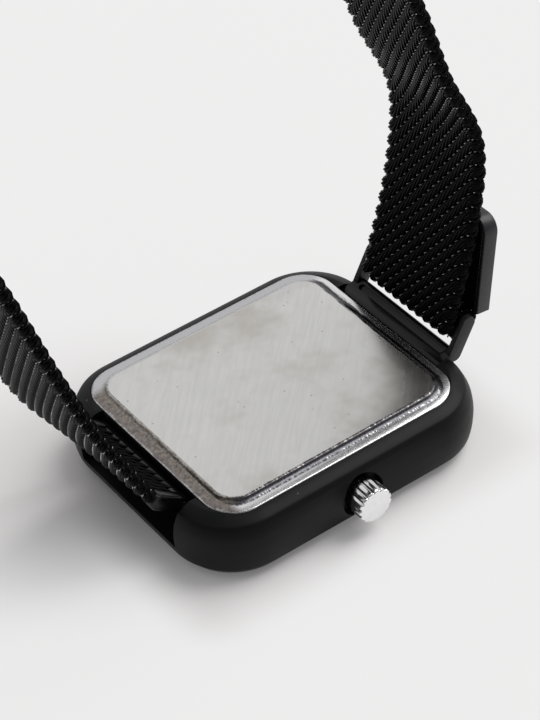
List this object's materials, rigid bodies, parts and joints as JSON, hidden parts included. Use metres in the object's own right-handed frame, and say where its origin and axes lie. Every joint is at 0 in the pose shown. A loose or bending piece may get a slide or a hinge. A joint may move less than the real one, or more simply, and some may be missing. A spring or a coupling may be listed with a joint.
{
  "type": "digital wristwatch",
  "caption": "Square digital wristwatch with a side push button and a woven steel mesh strap closed in a loop by a ring and a magnetic clasp.",
  "frame": {"origin": "centre of the lens's outer face, which the watch rests on", "axes": "+Z from the lens towards the back plate and the strap's loop, +X along the strap towards the ring and clasp, the push button on the -Y side"},
  "size_m": [0.0765, 0.041, 0.0953],
  "materials": {
    "case_black": "satin soft-touch coat over die-cast metal",
    "lens_tint": "polished, dark tinted",
    "gasket_black": "matte",
    "panel_black": "matte",
    "segment_red": "clear red resin that glows",
    "holder_plastic": "moulded",
    "board_green": "solder mask",
    "chip_black": "cast resin",
    "can_metal": "bright",
    "parts_brown": "ceramic",
    "film_yellow": "thin film",
    "cell_steel": "bright pressed steel",
    "contact_gold": "gilt spring metal",
    "plate_steel": "dull brushed middle, worn bright border, fine scratches",
    "button_chrome": "polished",
    "spring_steel": "drawn wire",
    "bar_brass": "worn gilt",
    "mesh_black": "black coated woven steel wire, semi-gloss",
    "trim_black": "black coated steel, semi-gloss",
    "magnet_nickel": "nickel plate"
  },
  "bodies": {
    "case": {"case_shell": "case_black", "lens": "lens_tint", "lens_gasket": "gasket_black", "display_panel": "panel_black", "lit_segments": "segment_red", "module_holder": "holder_plastic", "circuit_board": "board_green", "driver_chip": "chip_black", "crystal_can": "can_metal", "board_parts": "parts_brown", "cell_insulator": "film_yellow", "coin_cell": "cell_steel", "cell_clip": "cell_steel", "negative_contact": "contact_gold", "plate_insulator": "film_yellow", "switch_leaf": "contact_gold", "holder_screws": "cell_steel", "back_gasket": "gasket_black", "back_plate": "plate_steel", "button_tube": "bar_brass", "button_spring": "spring_steel", "left_bar_tube": "bar_brass", "left_bar_tips": "bar_brass", "left_bar_spring": "spring_steel", "right_bar_tube": "bar_brass", "right_bar_tips": "bar_brass", "right_bar_spring": "spring_steel"},
    "button": {"button_head": "button_chrome", "button_stem": "cell_steel", "button_seal": "gasket_black", "button_clip": "spring_steel"},
    "strap_end": {"strap_end_clamp": "trim_black"},
    "strap_01": {"strap_link_01": "mesh_black"},
    "strap_02": {"strap_link_02": "mesh_black"},
    "strap_03": {"strap_link_03": "mesh_black"},
    "strap_04": {"strap_link_04": "mesh_black"},
    "strap_05": {"strap_link_05": "mesh_black"},
    "strap_06": {"strap_link_06": "mesh_black"},
    "strap_07": {"strap_link_07": "mesh_black"},
    "strap_08": {"strap_link_08": "mesh_black"},
    "strap_09": {"strap_link_09": "mesh_black"},
    "strap_10": {"strap_link_10": "mesh_black"},
    "strap_11": {"strap_link_11": "mesh_black"},
    "strap_12": {"strap_link_12": "mesh_black"},
    "strap_13": {"strap_link_13": "mesh_black"},
    "strap_14": {"strap_link_14": "mesh_black"},
    "strap_15": {"strap_link_15": "mesh_black"},
    "strap_16": {"strap_link_16": "mesh_black"},
    "ring": {"ring_frame": "trim_black"},
    "fold": {"strap_fold": "mesh_black"},
    "clasp": {"strap_tail": "mesh_black", "clasp_housing": "trim_black", "clasp_magnet": "magnet_nickel", "clasp_cover": "trim_black"}
  },
  "joints": [
    {"name": "button_press", "type": "slide", "parent": "case", "child": "button", "axis": [0, 1, 0], "range_m": [0, 0.0006], "stiffness_N_per_m": 1200, "springref_m": -0.0004, "deforming": ["button_spring"]},
    {"name": "strap_sway", "type": "hinge", "parent": "case", "child": "strap_end", "pos_m": [-0.0201, 0, 0.0078], "axis": [0, 1, 0], "range_deg": [-20, 20]},
    {"name": "strap_flex_01", "type": "hinge", "parent": "strap_end", "child": "strap_01", "pos_m": [-0.0242, 0, 0.0109], "axis": [0, 1, 0], "range_deg": [-8, 8]},
    {"name": "strap_flex_02", "type": "hinge", "parent": "strap_01", "child": "strap_02", "pos_m": [-0.03036, 0, 0.02235], "axis": [0, 1, 0], "range_deg": [-8, 8]},
    {"name": "strap_flex_03", "type": "hinge", "parent": "strap_02", "child": "strap_03", "pos_m": [-0.03485, 0, 0.03456], "axis": [0, 1, 0], "range_deg": [-8, 8]},
    {"name": "strap_flex_04", "type": "hinge", "parent": "strap_03", "child": "strap_04", "pos_m": [-0.03881, 0, 0.04696], "axis": [0, 1, 0], "range_deg": [-8, 8]},
    {"name": "strap_flex_05", "type": "hinge", "parent": "strap_04", "child": "strap_05", "pos_m": [-0.04273, 0, 0.05936], "axis": [0, 1, 0], "range_deg": [-8, 8]},
    {"name": "strap_flex_06", "type": "hinge", "parent": "strap_05", "child": "strap_06", "pos_m": [-0.04515, 0, 0.07214], "axis": [0, 1, 0], "range_deg": [-8, 8]},
    {"name": "strap_flex_07", "type": "hinge", "parent": "strap_06", "child": "strap_07", "pos_m": [-0.04274, 0, 0.08474], "axis": [0, 1, 0], "range_deg": [-8, 8]},
    {"name": "strap_flex_08", "type": "hinge", "parent": "strap_07", "child": "strap_08", "pos_m": [-0.03299, 0, 0.09288], "axis": [0, 1, 0], "range_deg": [-8, 8]},
    {"name": "strap_flex_09", "type": "hinge", "parent": "strap_08", "child": "strap_09", "pos_m": [-0.02013, 0, 0.09404], "axis": [0, 1, 0], "range_deg": [-8, 8]},
    {"name": "strap_flex_10", "type": "hinge", "parent": "strap_09", "child": "strap_10", "pos_m": [-0.0076, 0, 0.09068], "axis": [0, 1, 0], "range_deg": [-8, 8]},
    {"name": "strap_flex_11", "type": "hinge", "parent": "strap_10", "child": "strap_11", "pos_m": [0.00364, 0, 0.08418], "axis": [0, 1, 0], "range_deg": [-8, 8]},
    {"name": "strap_flex_12", "type": "hinge", "parent": "strap_11", "child": "strap_12", "pos_m": [0.01281, 0, 0.075], "axis": [0, 1, 0], "range_deg": [-8, 8]},
    {"name": "strap_flex_13", "type": "hinge", "parent": "strap_12", "child": "strap_13", "pos_m": [0.01884, 0, 0.06349], "axis": [0, 1, 0], "range_deg": [-8, 8]},
    {"name": "strap_flex_14", "type": "hinge", "parent": "strap_13", "child": "strap_14", "pos_m": [0.02291, 0, 0.05114], "axis": [0, 1, 0], "range_deg": [-8, 8]},
    {"name": "strap_flex_15", "type": "hinge", "parent": "strap_14", "child": "strap_15", "pos_m": [0.02781, 0, 0.03908], "axis": [0, 1, 0], "range_deg": [-8, 8]},
    {"name": "strap_flex_16", "type": "hinge", "parent": "strap_15", "child": "strap_16", "pos_m": [0.02678, 0, 0.02637], "axis": [0, 1, 0], "range_deg": [-8, 8]},
    {"name": "ring_swing", "type": "hinge", "parent": "case", "child": "ring", "pos_m": [0.0201, 0, 0.0078], "axis": [0, 1, 0], "range_deg": [-14, 14]},
    {"name": "fold_turn", "type": "hinge", "parent": "ring", "child": "fold", "pos_m": [0.0246, 0, 0.0131], "axis": [0, 1, 0], "range_deg": [-14, 14]},
    {"name": "clasp_lift", "type": "hinge", "parent": "fold", "child": "clasp", "pos_m": [0.0259, 0, 0.01201], "axis": [0, 1, 0], "range_deg": [0, 95]}
  ],
  "couplings": [
    {"joint": "strap_flex_01", "follows": "strap_sway", "ratio": -0.3054},
    {"joint": "strap_flex_02", "follows": "strap_sway", "ratio": -0.1244},
    {"joint": "strap_flex_03", "follows": "strap_sway", "ratio": -0.0828},
    {"joint": "strap_flex_04", "follows": "strap_sway", "ratio": -0.0817},
    {"joint": "strap_flex_05", "follows": "strap_sway", "ratio": -0.0874},
    {"joint": "strap_flex_06", "follows": "strap_sway", "ratio": -0.1107},
    {"joint": "strap_flex_07", "follows": "strap_sway", "ratio": -0.2067},
    {"joint": "strap_flex_08", "follows": "strap_sway", "ratio": -0.1031},
    {"joint": "strap_flex_09", "follows": "strap_sway", "ratio": 0.0946},
    {"joint": "strap_flex_10", "follows": "strap_sway", "ratio": 0.3383},
    {"joint": "strap_flex_11", "follows": "strap_sway", "ratio": 0.3318},
    {"joint": "strap_flex_12", "follows": "strap_sway", "ratio": 0.0995},
    {"joint": "strap_flex_13", "follows": "strap_sway", "ratio": -0.1513},
    {"joint": "strap_flex_14", "follows": "strap_sway", "ratio": -0.2547},
    {"joint": "strap_flex_15", "follows": "strap_sway", "ratio": -0.2258},
    {"joint": "strap_flex_16", "follows": "strap_sway", "ratio": 0.0932},
    {"joint": "ring_swing", "follows": "strap_sway", "ratio": 0.42},
    {"joint": "fold_turn", "follows": "strap_sway", "ratio": -0.1942}
  ]
}
